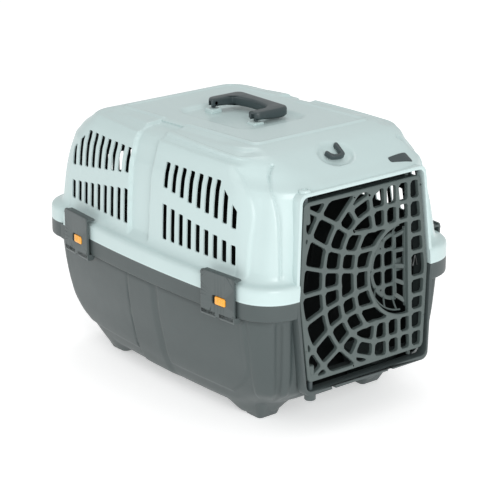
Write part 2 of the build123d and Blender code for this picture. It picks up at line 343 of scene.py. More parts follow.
def subtract(obj, cutters):
    """Cuts the closed forms out of obj; the quick solver stands in where the exact one drops the wall."""
    tool = joined("tool", cutters, obj.data.materials[0])
    whole = obj.data.copy()
    for solver in ("EXACT", "FAST"):
        m = obj.modifiers.new("cut", "BOOLEAN")
        m.operation, m.object, m.solver = "DIFFERENCE", tool, solver
        settle(obj, 35)
        if len(obj.data.polygons) > 0.5 * len(whole.polygons):
            break
        obj.data = whole.copy()
    bpy.data.objects.remove(tool)
    return obj


# ---------------------------------------------------------------- materials
def plastic(name, colour, roughness, grain=0.00022, strength=0.12, variation=0.05, coat=0.0,
            wear=0.25, specular=0.5):
    m = bpy.data.materials.new(name)
    m.use_nodes = True
    tree = m.node_tree
    nodes, links = tree.nodes, tree.links
    shader = nodes["Principled BSDF"]
    where = nodes.new("ShaderNodeTexCoord")

    def noise(scale, detail=3.0, rough=0.5):
        n = nodes.new("ShaderNodeTexNoise")
        n.inputs["Scale"].default_value = scale
        n.inputs["Detail"].default_value = detail
        n.inputs["Roughness"].default_value = rough
        links.new(where.outputs["Object"], n.inputs["Vector"])
        return n

    cloud = noise(9.0, 4.0)
    ramp = nodes.new("ShaderNodeValToRGB")
    ramp.color_ramp.elements[0].position, ramp.color_ramp.elements[1].position = 0.3, 0.7
    ramp.color_ramp.elements[0].color = (*[c * (1 - variation) for c in colour], 1)
    ramp.color_ramp.elements[1].color = (*[min(c * (1 + variation), 1) for c in colour], 1)
    links.new(cloud.outputs["Fac"], ramp.inputs["Fac"])
    worn = nodes.new("ShaderNodeMix")
    worn.data_type = "RGBA"
    geometry = nodes.new("ShaderNodeNewGeometry")
    edge = nodes.new("ShaderNodeMapRange")
    edge.inputs["From Min"].default_value, edge.inputs["From Max"].default_value = 0.54, 0.68
    edge.inputs["To Max"].default_value = wear
    links.new(geometry.outputs["Pointiness"], edge.inputs["Value"])
    links.new(edge.outputs["Result"], worn.inputs["Factor"])
    links.new(ramp.outputs["Color"], worn.inputs["A"])
    worn.inputs["B"].default_value = (*[min(c * 1.25 + 0.05, 1) for c in colour], 1)
    links.new(worn.outputs["Result"], shader.inputs["Base Color"])

    scuff = noise(60.0, 6.0, 0.65)
    gloss = nodes.new("ShaderNodeMapRange")
    gloss.inputs["To Min"].default_value = roughness - 0.05
    gloss.inputs["To Max"].default_value = roughness + 0.07
    links.new(scuff.outputs["Fac"], gloss.inputs["Value"])
    links.new(gloss.outputs["Result"], shader.inputs["Roughness"])

    texture = noise(1.0 / grain / 4, 2.0)
    bump = nodes.new("ShaderNodeBump")
    bump.inputs["Strength"].default_value = strength
    bump.inputs["Distance"].default_value = grain
    links.new(texture.outputs["Fac"], bump.inputs["Height"])
    links.new(bump.outputs["Normal"], shader.inputs["Normal"])
    shader.inputs["Coat Weight"].default_value = coat
    shader.inputs["Coat Roughness"].default_value = 0.15
    shader.inputs["Specular IOR Level"].default_value = specular
    return m


mint = plastic("mint_shell", (0.53, 0.655, 0.650), 0.36, variation=0.015, coat=0.15, wear=0.35)
grey = plastic("grey_tub", (0.060, 0.078, 0.078), 0.44, variation=0.04, wear=0.25)
mid_grey = plastic("grille_grey", (0.082, 0.108, 0.104), 0.42, variation=0.04, wear=0.35)
clip_grey = plastic("clip_grey", (0.056, 0.074, 0.074), 0.42, variation=0.04, wear=0.3)
dark = plastic("handle_grey", (0.044, 0.062, 0.066), 0.38, variation=0.05, wear=0.3)
# Leaf edge grey: darker than the grille's own grey as painted shade, so the turned-in flange reads as shaded.
painted_shade_grey = plastic("leaf_edge_painted_shade", (0.030, 0.040, 0.040), 0.5, variation=0.05, wear=0.2, specular=0.3)
orange = plastic("lock_orange", (0.95, 0.40, 0.03), 0.30, variation=0.04, coat=0.3, wear=0.4)


def steel():
    m = plastic("pin_steel", (0.16, 0.17, 0.17), 0.38, grain=0.0004, strength=0.2, wear=0.1)
    m.node_tree.nodes["Principled BSDF"].inputs["Metallic"].default_value = 1.0
    return m


pin_steel = steel()
# Near-black inner faces of the shells: painted shade that stands in for the shadow inside them, not the plastic's own
# colour.
inside_painted_shade = plastic("inside_shade", (0.018, 0.022, 0.022), 0.6, variation=0.05, wear=0.0, specular=0.2)


# ---------------------------------------------------------------- shells
def outline_points(sections, x_limits, counts):
    """Points round each section: near side, front, far side and rear, with the corners between.

    sections is (rings, 5) and the result is (rings, columns, 2)."""
    rear, ahead, half, rr, rf = sections.T
    n_side, n_corner, n_front, n_rear = counts

    def tangent(reach, radius, sign):
        x = sign * (reach - radius)
        for _ in range(6):
            slope = -2 * SIDE_BOW * (x - BOW_CENTRE)
            x = sign * (reach - radius) - radius * slope / np.hypot(1, slope)
        slope = -2 * SIDE_BOW * (x - BOW_CENTRE)
        y = half - SIDE_BOW * (x - BOW_CENTRE) ** 2
        norm = np.hypot(1, slope)
        return x, x + radius * slope / norm, y - radius / norm

    xf, cxf, cyf = tangent(ahead, rf, 1)
    xr, cxr, cyr = tangent(rear, rr, -1)
    start = np.maximum(x_limits[0], xr - 0.28 * rr)
    end = np.minimum(x_limits[1], xf + 0.28 * rf)

    def side_y(x):
        y = half[:, None] - SIDE_BOW * (x - BOW_CENTRE) ** 2
        fore = cyf[:, None] + np.sqrt(np.maximum(rf[:, None] ** 2 - (x - cxf[:, None]) ** 2, 0))
        aft = cyr[:, None] + np.sqrt(np.maximum(rr[:, None] ** 2 - (x - cxr[:, None]) ** 2, 0))
        y = np.where(x > xf[:, None], fore, y)
        return np.where(x < xr[:, None], aft, y)

    t = np.linspace(0, 1, n_side)
    x_side = start[:, None] + (end - start)[:, None] * t
    y_side = side_y(x_side)

    def corner(cx, cy, radius, x_from, sign):
        """From the side's end to the end wall, ends left out."""
        a0 = np.arcsin(np.clip(sign * (x_from - cx) / radius, -1, 1))
        f = np.linspace(0, 1, n_corner + 2)[1:-1]
        a = a0[:, None] + (math.pi / 2 - a0)[:, None] * f
        return cx[:, None] + sign * radius[:, None] * np.sin(a), cy[:, None] + radius[:, None] * np.cos(a)

    fx, fy = corner(cxf, cyf, rf, end, 1)
    bx, by = corner(cxr, cyr, rr, start, -1)
    s = np.linspace(-1, 1, n_front)
    front_y = cyf[:, None] * s
    s = np.linspace(1, -1, n_rear)
    rear_y = cyr[:, None] * s
    front_x = np.repeat(ahead[:, None], n_front, 1)
    rear_x = np.repeat(-rear[:, None], n_rear, 1)
    xs = np.hstack([x_side, fx, front_x, fx[:, ::-1], x_side[:, ::-1], bx, rear_x, bx[:, ::-1]])
    ys = np.hstack([-y_side, -fy, front_y, fy[:, ::-1], y_side[:, ::-1], by, rear_y, -by[:, ::-1]])
    return np.stack([xs, ys], 2)


def grid_normals(p):
    across = np.roll(p, -1, 1) - np.roll(p, 1, 1)
    along = np.gradient(p, axis=0)
    n = np.cross(across, along)
    return n / np.maximum(np.linalg.norm(n, axis=2), 1e-9)[:, :, None]


def shell_mesh(sections, heights, offset, warp, x_limits=(-188, 184), counts=(200, 56, 78, 60)):
    """Grid of points round and up a shell, moved out along its normals by offset, and its faces."""
    flat = outline_points(sections, x_limits, counts)
    p = np.concatenate([flat, np.repeat(heights[:, None, None], flat.shape[1], 1)], 2)
    p = warp(p)
    p = p + grid_normals(p) * offset(p)[:, :, None]
    rings, columns = p.shape[:2]
    faces = []
    for i in range(rings - 1):
        for j in range(columns):
            k = (j + 1) % columns
            faces.append((i * columns + j, i * columns + k, (i + 1) * columns + k, (i + 1) * columns + j))
    return p, faces


def ring_table(table, rim_steps):
    """Rings of the rim at its steps, and the table resampled evenly along the profile."""
    run = np.concatenate([[0], np.cumsum(np.hypot(np.diff(table[:, 2]), np.diff(table[:, 5])))])
    fine = pchip(run, table, np.linspace(0, run[-1], 600))
    z = fine[:, 5]
    rows = []
    for height, share in rim_steps:
        wall = fine[np.argmin(abs(z - height))]
        rows.append(np.append(np.array(RIM) * (1 - share) + wall[:5] * share, height))
    return np.array(rows), fine


def spread(wall, count):
    """Rings of the wall, evenly spaced by its side profile and half of its front reach."""
    across = np.hypot(*np.diff(wall[:, [2, 5]], axis=0).T)
    run = np.concatenate([[0], np.cumsum(np.hypot(across, 0.5 * np.diff(wall[:, 1])))])
    at = np.linspace(0, run[-1], count)
    return np.stack([np.interp(at, run, wall[:, k]) for k in range(6)], 1)


def channel(x, z):
    """1 inside the recess between the vent panels, 0 outside."""
    left = -36 - 0.09 * (z - 230)
    right = 9 - 0.05 * (z - 230)
    return smooth(x, left - 2.5, left + 2) * (1 - smooth(x, right - 4.5, right + 1.5))


def panel_front(z):
    """Front edge of the front vent panel."""
    return 204 - 0.05 * (z - 225) - 50 * np.clip((z - 285) / 70, 0, 1) ** 2.4


def upper_offset(p):
    x, y, z = p[..., 0], p[..., 1], p[..., 2]
    side = smooth(np.abs(y), 95, 108)
    up = smooth(z, 216, 226)
    d = -5.0 * channel(x, z) * side * up
    above = smooth(z, 350.5, 354.5) * (1 - smooth(z, 365.5, 367.2))
    ridge = 1 - 0.8 * (1 - smooth(np.abs(z - 360.5), 0.6, 2.4))
    ends = 1 - smooth(np.abs(x), 150, 175)
    d -= 3.2 * above * ridge * smooth(np.abs(y), 98, 112) * (1 - channel(x, z)) * ends
    edge = panel_front(z)
    around = np.degrees(np.arctan2(x - 190, np.abs(y) - 105))
    beyond = smooth(x, edge - 1.5, edge + 3) * (1 - smooth(around, 25, 48)) * (1 - smooth(z, 340, 356))
    d -= 2.4 * beyond * smooth(np.abs(y), 60, 80) * up
    strip = 61 - 58 * np.clip((z - 285) / 76, 0, 1) ** 2.4
    front = (x > 180) * smooth(np.abs(y), 60, 80) * up * (1 - smooth(z, 359, 365))
    off = np.abs(around - strip) * np.hypot(x - 190, np.abs(y) - 105) * 0.01745
    d -= 2.8 * (1 - smooth(off, 0.6, 3.2)) * front
    d -= 1.2 * smooth(around, strip, strip + 5) * front * (1 - smooth(z, 330, 350))
    middle = 1 - smooth(np.abs(z - 270), 60, 80)
    d -= 2.2 * (1 - smooth(x, -219, -212)) * middle * up * smooth(np.abs(y), 80, 100)
    egg = ((y + 7) / 29) ** 2 + ((z - 351.5) / 10.5) ** 2
    d -= 5.5 * (1 - smooth(egg, 0.5, 1.05)) * smooth(x, 150, 170)
    return d


def roof_drop(x, z):
    return -np.clip(4.5 - 0.033 * x, -0.4, 10) * smooth(z, 285, 362)


def upper_warp(p):
    p = p.copy()
    p[..., 2] += roof_drop(p[..., 0], p[..., 2])
    return p


def build_upper():
    steps = [(191, 0), (196, 0), (201, 0), (205, 0.0), (208, 0.02), (210, 0.07), (211.6, 0.16), (212.8, 0.3),
             (213.5, 0.45), (214.1, 0.6), (214.9, 0.73), (216.2, 0.84), (218.2, 0.92), (221, 0.97), (224.5, 0.995)]
    rim, fine = ring_table(UPPER, steps)
    rows = np.vstack([rim, spread(fine[fine[:, 5] > 227], 104)])
    p, faces = shell_mesh(rows[:, :5], rows[:, 5], upper_offset, upper_warp)
    obj = make("upper_shell_skin", p.reshape(-1, 3), faces, mint, 50)
    return thicken(obj, inside_painted_shade)


def slot_heights(index):
    """Lower and upper opening of one column; the band between them falls away from the middle."""
    from_middle = SLOT_FIRST + SLOT_PITCH * index
    band = 284.0 - 0.155 * (from_middle - 62.0)
    head = 330.0 - {7: 9.0, 8: 24.0}.get(index, 0.0)
    return (SLOT_FOOT, band - 10.5), (band + 10.5, head)


def slot_prism(x, low, high, side, slant):
    """A lean slot through one long side; slant lowers one corner of its top."""
    w, r = 4.8, 1.4
    lean = 0.09
    left, right = high - max(-slant, 0), high - max(slant, 0)
    corners = [(-w, low + r), (-w + r, low), (w - r, low), (w, low + r)]
    corners += [(w, high - r - max(slant, 0)), (w - r, right), (-w + r, left), (-w, high - r - max(-slant, 0))]
    shape = [(x + a - lean * (b - SLOT_FOOT), b) for a, b in corners]
    return prism(shape, 120, 200, lambda a, b, c: (a, side * c, b))


def build_slots():
    made = []
    for side in (-1, 1):
        for sign in (-1, 1):
            for index in range(9):
                x = sign * (SLOT_FIRST + SLOT_PITCH * index)
                for row, (low, high) in enumerate(slot_heights(index)):
                    slant = 0.0
                    if row == 1 and index >= 7:
                        slant = 6.0 * sign
                    made.append(slot_prism(x, low, high, side, slant))
    for y in (-50.0, -30.0, -10.0, 10.0, 30.0, 50.0):
        for middle, height in ((246.0, 28.0), (298.0, 32.0)):
            shape = rectangle(y - 4.1, y + 4.1, middle - height / 2, middle + height / 2)
            made.append(prism(rounded(shape, 1.4, 3), -270, -215, upright))
    return made


def rounded(points, radius, count=6):
    """Closed polygon with its corners rounded."""
    out, n = [], len(points)
    for i in range(n):
        p, a, b = (Vector(points[k % n]) for k in (i, i - 1, i + 1))
        u, v = (a - p).normalized(), (b - p).normalized()
        half = u.angle(v) / 2
        r = radius[i] if isinstance(radius, (list, tuple)) else radius
        if r <= 0 or half > 1.54:
            out.append(tuple(p))
            continue
        cut = r / math.tan(half)
        centre = p + (u + v).normalized() * (r / math.sin(half))
        s, e = p + u * cut - centre, p + v * cut - centre
        sweep = s.angle_signed(e)
        for k in range(count + 1):
            t = -sweep * k / count
            out.append(tuple(centre + Matrix.Rotation(t, 2) @ s))
    return out


def door_shape(top, bottom, half_top, half_mid, half_bottom, corner):
    points = [(-half_bottom, bottom), (half_bottom, bottom), (half_mid, PARTING),
              (half_top, top), (-half_top, top), (-half_mid, PARTING)]
    return rounded(points, [corner, corner, 0, corner, corner, 0])


DOORWAY = door_shape(322.5, 67.0, 103.0, 113.5, 104.5, 9.0)
DOOR_FRAME = door_shape(327.5, 61.0, 107.0, 118.5, 107.0, 11.0)
DOOR_CUT = prism(DOORWAY, -60, 30, on_door)
FRAME_DEPTH = (-14, 1.5)


def half_frame(upper):
    """The doorway's raised frame, above or below the parting line, as one closed polygon."""
    turn = 1 if upper else -1

    def part(shape):
        picked = [q for q in shape if (q[1] > PARTING + 1e-6) == upper and abs(q[1] - PARTING) > 1e-6]
        side = sorted(q for q in shape if abs(q[1] - PARTING) < 1e-6)
        order = sorted(picked, key=lambda q: turn * math.atan2(q[1] - PARTING, q[0]))
        return [side[-1]] + order + [side[0]]

    gap = 0.25 * turn
    outer, inner = part(DOOR_FRAME), part(DOORWAY)
    ring = outer + inner[::-1]
    return [(u, v + gap if abs(v - PARTING) < 1e-6 else v) for u, v in ring]


shell = build_upper()
subtract(shell, build_slots() + [DOOR_CUT])
frame_top = joined("upper_door_frame", [prism(half_frame(True), *FRAME_DEPTH, on_door)], mint)
bevel(frame_top, 0.9, 3)
for piece in (shell, frame_top):
    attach(piece, "shell")
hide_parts("upper_shell")
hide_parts("upper_shell")


# ---------------------------------------------------------------- roof panel
def build_roof():
    xs = np.arange(-150, 150.1, 2.0)
    ys = np.arange(-102, 102.1, 2.0)
    gx, gy = np.meshgrid(xs, ys)
    flat = np.stack([gx.ravel(), gy.ravel()], 1)
    d = box_distance(flat, (0, 0), (150, 102), 16)
    z = 368.2 + roof_drop(flat[:, 0], np.full(len(flat), 367.0)) - 1.6 * smooth(d, -5.0, -0.5)
    broken = channel(flat[:, 0], 360.0) * (np.abs(flat[:, 1]) > 60)
    z += 1.5 * smooth(d, -12.0, -8.5) * (1 - smooth(d, -6.0, -2.0)) * (1 - broken)
    recess = box_distance(flat, (-2, -6), (82, 56), 14)
    floor = box_distance(flat, (2, -4), (68, 46), 12)
    z -= 5.0 * (1 - smooth(floor, 0, 13)) * (recess < 1.0)
    keep = d.reshape(gx.shape) <= 0.3
    rows, columns = gx.shape
    faces = []
    for i in range(rows - 1):
        for j in range(columns - 1):
            if keep[i, j] and keep[i + 1, j] and keep[i, j + 1] and keep[i + 1, j + 1]:
                a = i * columns + j
                faces.append((a, a + 1, a + columns + 1, a + columns))
    obj = make("roof_panel", np.column_stack([flat, z]), faces, mint, 50, recalc=False)
    work = bmesh.new()
    work.from_mesh(obj.data)
    bmesh.ops.delete(work, geom=[v for v in work.verts if not v.link_faces], context="VERTS")
    work.to_mesh(obj.data)
    work.free()
    return thicken(obj, inside_painted_shade)


roof = build_roof()
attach(roof, "shell")
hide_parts("upper_shell")


# ---------------------------------------------------------------- lower shell
def lower_offset(p):
    x, y, z = p[..., 0], p[..., 1], p[..., 2]
    side = smooth(np.abs(y), 95, 112)
    wall = (1 - smooth(z, 158, 166)) * smooth(z, 14, 30)
    left = -38 - 0.05 * (165 - z)
    band = smooth(x, left - 2, left + 2) * (1 - smooth(x, 12, 28))
    d = 2.4 * band * side * wall
    right_edge = 200 - 46 * np.clip((110 - z) / 62, 0, 1) ** 2.2
    front_panel = smooth(x, 26, 30) * (1 - smooth(x, right_edge - 1, right_edge + 4)) * smooth(z, 43, 49)
    rear_panel = (1 - smooth(x, left - 3, left)) * smooth(z, 41, 47) * smooth(x, -214, -206)
    d += 2.2 * (front_panel + rear_panel) * side * wall
    around = np.degrees(np.arctan2(x - 190, np.abs(y) - 105))
    corner = (x > 188) * smooth(z, 34, 62) * wall
    d += 1.6 * corner * smooth(around, 12, 18) * (1 - smooth(around, 48, 54))
    d -= 3.6 * corner * smooth(around, 52, 57) * (1 - smooth(around, 61, 66))
    d -= 2.8 * corner * smooth(around, 74, 79) * (1 - smooth(around, 100, 104))
    return d


def lower_warp(p):
    """Presses the underside down into four tapered feet."""
    p = p.copy()
    flat = np.stack([np.abs(p[..., 0]).ravel(), np.abs(p[..., 1]).ravel()], 1)
    away = box_distance(flat, (152, 96), (15, 12), 4).reshape(p.shape[:2])
    share = (1 - smooth(away, 0.5, 26)) * (1 - smooth(p[..., 2], 15, 42))
    p[..., 2] -= share * 12.4
    p[..., 2] = np.maximum(p[..., 2], 0.0)
    return p


def build_lower():
    steps = [(191, 0), (186, 0), (181, 0), (176, 0), (172, 0), (169.6, 0.02), (168.6, 0.10), (168.2, 0.3),
             (168.0, 0.6), (167.4, 0.85), (165.5, 0.97), (163, 1.0)]
    rim, fine = ring_table(LOWER, steps)
    rows = np.vstack([rim, spread(fine[fine[:, 5] < 161][::-1], 84)])
    p, faces = shell_mesh(rows[:, :5], rows[:, 5], lambda q: -lower_offset(q), lower_warp,
                          x_limits=(-196, 190), counts=(170, 52, 78, 60))
    columns = p.shape[1]
    verts = p.reshape(-1, 3)
    last = (len(rows) - 1) * columns
    faces.append(tuple(range(last, last + columns)))
    obj = make("lower_shell_skin", verts, faces, grey, 50)
    return thicken(obj, inside_painted_shade)


tub = build_lower()
subtract(tub, [DOOR_CUT])


def foot(x, y):
    """Tapered foot blended into one corner of the tub; x and y are the corner's signs."""
    # Height, centre, half sizes and corner radius of each ring
    levels = ((0.0, 152, 91, 15, 16, 5), (1.2, 152, 91, 15.8, 16.8, 5.5), (14, 153, 93, 22, 21, 9),
              (26, 154, 95, 29, 25, 13), (38, 156, 97, 36, 28, 17), (46, 156, 97, 34, 26, 16))
    verts = []
    for z, cx, cy, a, b, r in levels:
        ring = rounded(rectangle(-a, a, -b, b), r, 9)
        verts += [(x * cx + u, y * cy + v, z) for u, v in ring]
    return verts, ring_faces(len(levels), len(ring))


notches = [prism(rectangle(a, b, 55, 66), -6, 5, on_door) for a, b in ((-62, -56), (36, 44))]
feet = joined("feet", [foot(x, y) for x in (-1, 1) for y in (-1, 1)], grey, 40)
frame_low = joined("lower_door_frame", [prism(half_frame(False), *FRAME_DEPTH, on_door)], grey)
subtract(frame_low, notches)
bevel(frame_low, 0.9, 3)


for piece in (tub, frame_low, feet):
    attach(piece, "shell")
    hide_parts("lower_shell")


def along_hinge(low, high, profile):
    """Turned form on the door's hinge axis; the profile is (radius, share of the length)."""
    def place(a, b, h):
        return on_door(-93 + a, low + h * (high - low), -7 + b)
    return lathe(profile, place)


low_profile = [(6.2, 0), (7.2, 0.05), (7.5, 0.1), (7.5, 1.0)]
high_profile = [(7.5, 0), (7.5, 0.85), (7.0, 0.95), (6.2, 1.0), (4.2, 1.0), (3.8, 0.85), (0.5, 0.82)]
boss_low = joined("hinge_boss_lower", [along_hinge(53, 67, low_profile)], grey)
boss_high = joined("hinge_boss_upper", [along_hinge(322.5, 331, high_profile)], mint)
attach(boss_low, "shell")
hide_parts("lower_shell")
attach(boss_high, "shell")
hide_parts("upper_shell")

# ---------------------------------------------------------------- grille
CURVES = [
    [(-112, 236), (-72, 222), (-43, 215), (-17, 209.5), (9, 207)],
    [(-112, 284), (-66, 252), (-40, 240), (-13, 233.5), (22, 233)],
    [(-104, 311), (-52, 281), (-28, 264), (-4, 258), (40, 257.5), (110, 257.5)],
    [(-17, WEB_MIDDLE), (-16, 215), (-11, 236), (1, 257)],
    [(-43, WEB_MIDDLE), (-41.5, 215), (-36, 240), (-26, 259), (-10, 273), (14, 282), (44, 283.5), (110, 283.5)],
    [(-71, WEB_MIDDLE), (-69, 218), (-63, 245), (-49, 271), (-28, 293), (-6, 314)],
    [(-108, 216), (-104, 228), (-96, 256), (-80, 285), (-56, 315)],
    [(-21, 292), (0, 300), (24, 308)],
    [(-22, 292), (-12, 276)],
]
STRAIGHTS = [
    [(-112, WEB_MIDDLE), (-43, WEB_MIDDLE)], [(14, 282), (10, 316)], [(18, 258), (14, 282)], [(37.5, 257), (37.5, 316)],
    [(58.5, 257), (58.5, 316)], [(79, WEB_MIDDLE), (79, 316)], [(79, 212), (110, 212)], [(79, 236), (110, 236)],
]


def scoop_distance(p, radius, flat):
    return np.maximum(np.hypot(p[:, 0] - SCOOP_U, p[:, 1] - WEB_MIDDLE) - radius, p[:, 0] - flat)


LEAF = [(-101.5, 78.5), (101.5, 78.5), (110.5, PARTING), (100, 315.0), (-100, 315.0), (-110.5, PARTING)]


def leaf_distance(p):
    inner = [(u * (1 - 8 / abs(u)), v - 8 if v > 300 else v + 8 if v < 100 else v) for u, v in LEAF]
    return polygon_distance(p, inner) - 8


def web_field(p):
    mirrored = np.column_stack([p[:, 0], WEB_MIDDLE + np.abs(p[:, 1] - WEB_MIDDLE)])
    field = np.full(len(p), 50.0)
    for line in [spline(c) for c in CURVES] + STRAIGHTS:
        field = smin(field, polyline_distance(mirrored, line) - 2.7, 4.2)
    leaf = leaf_distance(p)
    field = smin(field, -(leaf + 5.5), 4.2)
    field = smin(field, np.maximum(scoop_distance(p, 67.0, 81.0), -scoop_distance(p, 61.0, 75.5)), 2.5)
    field = np.maximum(field, -scoop_distance(p, 62.0, 75.5))
    return np.maximum(field, leaf)


GRILLE_AREA = ((-116, 70), (116, 326))
web = joined("grille_web", [
    plate(web_field, *GRILLE_AREA, -7.5, -1.0, on_door, edge=1.2, back=0.5),
], mid_grey, 42)


def edge_field(p):
    d = leaf_distance(p)
    return np.maximum(d, -(d + 2.5))


# The leaf's turned-in edge takes the painted-shade grey.
edge = joined("grille_edge", [
    plate(edge_field, *GRILLE_AREA, -25.0, -3.0, on_door, edge=0.5, back=0.8, spacing=3.0),
], painted_shade_grey, 42)
knuckles = joined("grille_knuckles", [
    along_hinge(low, high, [(4.5, 0), (5.6, 0.04), (6.0, 0.1), (6.0, 0.9), (5.6, 0.96), (4.5, 1.0)])
    for low, high in ((78.9, 100), (286, 314.6))
], mid_grey)
for piece in (web, edge, knuckles):
    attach(piece, "door")
    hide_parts("door_grille")


# ---------------------------------------------------------------- scoop latch
def basket_field(p):
    outer = scoop_distance(p, 47.0, 70.0)
    field = np.maximum(outer, -scoop_distance(p, 41.5, 64.5))
    mirrored = np.column_stack([p[:, 0], np.abs(p[:, 1] - WEB_MIDDLE)])
    field = smin(field, polyline_distance(mirrored, [(47, 0), (47, 60)]) - 2.4, 4.0)
    for v in (0.0, 24.0):
        field = smin(field, polyline_distance(mirrored, [(20, v), (72, v)]) - 2.3, 4.0)
    return np.maximum(field, outer)


def ribbon(points, width, thickness):
    """Flat bar along door points (u, v, w), width across it in the plane of the door."""
    parts = []
    for a, b in zip(points[:-1], points[1:]):
        a, b = np.array(a, float), np.array(b, float)
        d = b - a
        side = np.cross(d, (0, 0, 1))
        side /= np.linalg.norm(side)
        up = np.cross(side, d)
        up /= np.linalg.norm(up)
        verts = [on_door(*(q + side * s * width / 2 + up * t * thickness / 2))
                 for q in (a, b) for s, t in ((-1, -1), (1, -1), (1, 1), (-1, 1))]
        faces = [(0, 1, 2, 3), (7, 6, 5, 4), (0, 4, 5, 1), (1, 5, 6, 2), (2, 6, 7, 3), (3, 7, 4, 0)]
        parts.append((verts, faces))
    return parts


def round_scoop(angle, radius, depth):
    """Door point on a circle about the middle of the scoop."""
    return (SCOOP_U + radius * math.cos(angle), WEB_MIDDLE + radius * math.sin(angle), depth)


def tube(points, radius, count=10):
    """Round bar through the points."""
    p = np.array(points, float)
    t = np.gradient(p, axis=0)
    t /= np.linalg.norm(t, axis=1)[:, None]
    ref = np.array((0.0, 0.0, 1.0)) if abs(t[0][2]) < 0.9 else np.array((1.0, 0.0, 0.0))
    verts = []
    for q, d in zip(p, t):
        a = np.cross(d, ref)
        a /= np.linalg.norm(a)
        b = np.cross(a, d)
        for k in range(count):
            ang = 2 * math.pi * k / count
            verts.append(tuple(q + radius * (a * math.cos(ang) + b * math.sin(ang))))
    return verts, ring_faces(len(p), count)


def door_tube(points, radius):
    return tube([on_door(*q) for q in points], radius)


parts = [plate(basket_field, (15, 140), (80, 250), -21.0, -18.0, on_door, edge=0.8, step=0.8, spacing=1.2)]
rim_angles = np.linspace(math.radians(94), math.radians(266), 40)
parts.append(door_tube([round_scoop(a, 58, -9.0) for a in rim_angles], 1.3))
for angle in (260, 237.8, 212.2, 180, 147.8, 122.2, 100):
    a = math.radians(angle)
    parts.append(door_tube([round_scoop(a, 43.5, -19.5), round_scoop(a, 52, -14), round_scoop(a, 58, -9)], 1.35))
# Slanted right wall: uprights and rungs between the floor and the leaf
for v in (-48, -24, 0, 24, 48):
    parts += ribbon([(68.0, WEB_MIDDLE + v * 0.83, -20), (75.5, WEB_MIDDLE + v, -8.5)], 5.4, 3.0)
for u, w, span in ((68.5, -19.5, 44), (75.8, -8.6, 54)):
    parts += ribbon([(u, WEB_MIDDLE - span, w), (u, WEB_MIDDLE + span, w)], 2.6, 3.6)
basket = joined("scoop_basket", parts, mid_grey, 42)
stem = joined("latch_stem", [
    prism(rounded(rectangle(67, 90, 186, 203), 2), -21, -18, on_door),
    prism(rounded(rectangle(82, 89.8, 186.2, 202.8), 1), -18.5, -11, on_door),
], mid_grey)
bevel(stem, 0.5, 2)
for piece in (basket, stem):
    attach(piece, "latch")
    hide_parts("latch_handle")

wire = [(u, v, -17.0) for u, v in spline([(91.2, 187.5), (94.8, 201.5), (99.0, 187.5), (103.2, 201.5), (106.6, 187.5)])]
spring = joined("latch_spring_wire", [door_tube(wire, 0.8)], pin_steel)
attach(spring, "door")
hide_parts("latch_spring")
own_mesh(spring)


def on_hood(a, b, c):
    """c above the hood's skin, straight over (a, b)."""
    where = shell.ray_cast((a * MM, b * MM, 0.5), (0, 0, -1))[1]
    return (a, b, where.z / MM + c)


def keeper_field(p):
    return polygon_distance(p, [(222.6, 64), (225.4, 64), (227.0, 96), (218.0, 96)]) - 2.6


keeper = joined("keeper_plate", [
    plate(keeper_field, (208, 56), (236, 108), -1.2, 0.8, on_hood, edge=0.5, back=0.2, step=0.6),
], dark)
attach(keeper, "shell")
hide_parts("latch_keeper")


# ---------------------------------------------------------------- carried-over CAD nodes
carried = {"latch_bolt_lower": mid_grey, "latch_bolt_upper": mid_grey, "door_pin_lower": dark,
           "door_pin_upper": dark, "handle_pin_rear": pin_steel, "handle_pin_front": pin_steel}
for name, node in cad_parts.items():
    if name in carried or name.startswith("clip_pin"):
        node.data.materials.clear()
        node.data.materials.append(carried.get(name, pin_steel))


# ---------------------------------------------------------------- handle
def grip_field(p):
    outer = box_distance(p, (0, 8), (54, 30), 11)
    arch = np.hypot(p[:, 0], p[:, 1] + 86) - 106.0
    return np.maximum(outer, -np.maximum(box_distance(p, (0, -11), (38.5, 34), 9), arch))


def arm_field(p):
    """The grip's lower part, with a pocket for the lug in each arm."""
    mirrored = np.column_stack([np.abs(p[:, 0]), p[:, 1]])
    return np.maximum(grip_field(p), -box_distance(mirrored, (45.5, -15), (3.1, 11), 0.5))


def on_handle(a, b, c):
    """Thins the arms towards the pivots."""
    top = 377.4
    return (a, b, top - (top - c) * (0.80 + 0.20 * float(smooth(b, -12, 16))))


GRIP_AREA = ((-60, -28), (60, 44))
handle = joined("carry_handle_body", [
    plate(arm_field, *GRIP_AREA, 363.5, 373.5, on_handle, edge=0.3, back=3.0, step=0.8, spacing=1.2),
    plate(grip_field, *GRIP_AREA, 373.3, 377.4, on_handle, edge=3.6, back=0.2, step=0.8, spacing=1.2),
], dark, 50)
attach(handle, "handle")
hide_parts("carry_handle")

lugs = []
for x in ARMS:
    def place(a, b, h, x=x):
        return (x + h, -15 + a, 371 + b)
    lugs.append(lathe([(2.6, -2.7), (2.9, -2.4), (2.9, 2.4), (2.6, 2.7)], place))
    lugs.append(prism(rectangle(-16.4, -13.6, 354, 371), x - 2.7, x + 2.7, upright))
lug = joined("handle_lugs", lugs, dark)
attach(lug, "shell")
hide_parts("upper_shell")
saddle_shape = rounded([(-25, 353), (-5, 353), (-7, 363.2), (-23, 363.2)], [0, 0, 3, 3])
saddles = joined("handle_saddles", [prism(saddle_shape, x - 8, x + 8, upright) for x in ARMS], mint)
bevel(saddles, 1.2, 3)
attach(saddles, "shell")
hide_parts("upper_shell")


# ---------------------------------------------------------------- clips
def clip_frame(side, which):
    x = {"rear": -142.0, "front": 172.0}[which]
    y = 182.5 - SIDE_BOW * (x - BOW_CENTRE) ** 2
    turn = math.atan(2 * SIDE_BOW * (x - BOW_CENTRE))
    angle = math.pi + turn if side < 0 else -turn
    c, s = math.cos(angle), math.sin(angle)

    def place(a, b, h):
        """a along the rim, b outwards, h up from the parting line."""
        return (x + a * c - b * s, side * y + a * s + b * c, PARTING + h)
    return place


